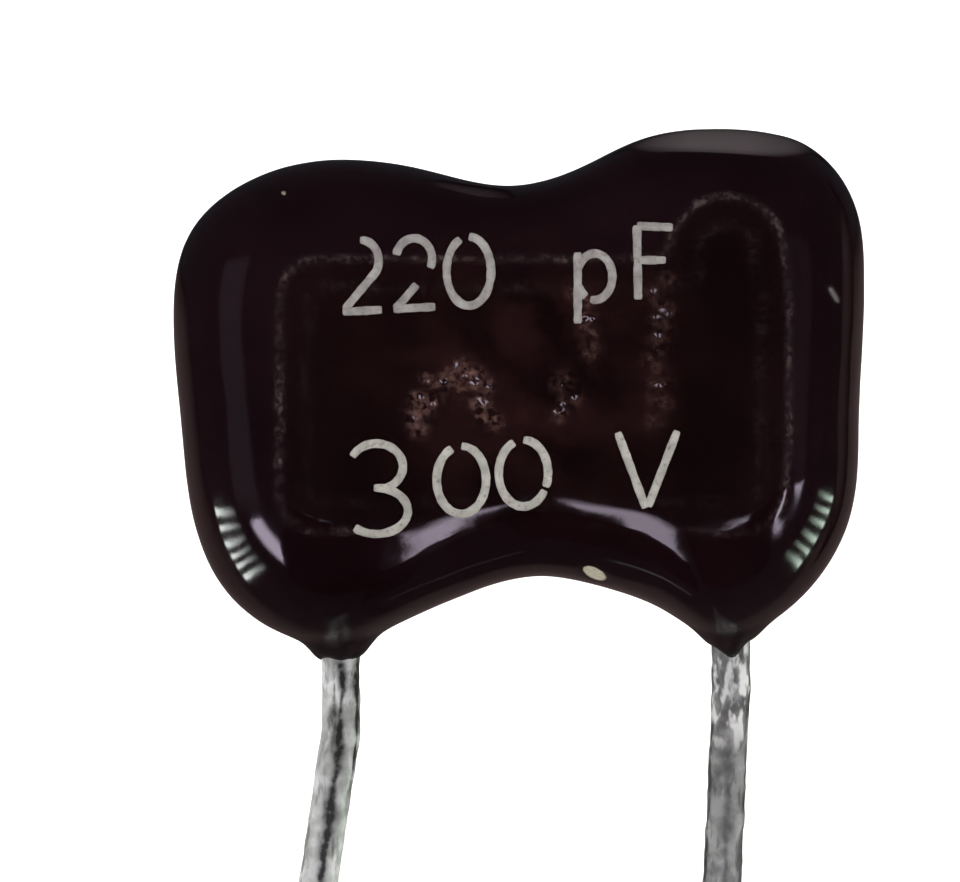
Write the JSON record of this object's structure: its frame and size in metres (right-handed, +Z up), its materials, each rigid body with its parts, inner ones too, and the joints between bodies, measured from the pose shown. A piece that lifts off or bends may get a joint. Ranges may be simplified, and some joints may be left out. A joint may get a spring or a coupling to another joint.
{
  "type": "dipped silver-mica capacitor",
  "caption": "Fixed radial capacitor: silvered mica sheets and foils clamped at both ends, dipped in dark glossy resin with a waisted outline.",
  "frame": {"origin": "midway between the two wire leads, in the plane where they leave the resin, which is where a board's top face would be", "axes": "+Z up from the leads through the body, +X along the body's width to the right lead, front face with the marking towards -Y"},
  "size_m": [0.0114, 0.0044, 0.0227],
  "materials": {
    "resin_gloss": "gloss",
    "resin_matte": "matte",
    "tinned_wire": "satin",
    "tinned_brass": "satin",
    "solder": "satin",
    "mica": "gloss",
    "silver": "matte",
    "foil": "satin",
    "marking_ink": "matte"
  },
  "bodies": {
    "root": {"outer_coat": "resin_gloss", "undercoat": "resin_matte", "lead_left": "tinned_wire", "clamp_left": "tinned_brass", "solder_left": "solder", "lead_right": "tinned_wire", "clamp_right": "tinned_brass", "solder_right": "solder", "cover_mica_front": "mica", "cover_mica_back": "mica", "mica_1": "mica", "silver_1_front": "silver", "silver_1_back": "silver", "mica_2": "mica", "silver_2_front": "silver", "silver_2_back": "silver", "mica_3": "mica", "silver_3_front": "silver", "silver_3_back": "silver", "mica_4": "mica", "silver_4_front": "silver", "silver_4_back": "silver", "mica_5": "mica", "silver_5_front": "silver", "silver_5_back": "silver", "mica_6": "mica", "silver_6_front": "silver", "silver_6_back": "silver", "mica_7": "mica", "silver_7_front": "silver", "silver_7_back": "silver", "mica_8": "mica", "silver_8_front": "silver", "silver_8_back": "silver", "foil_1": "foil", "foil_2": "foil", "foil_3": "foil", "foil_4": "foil", "foil_5": "foil", "foil_6": "foil", "foil_7": "foil", "foil_8": "foil", "foil_9": "foil"}
  },
  "joints": []
}
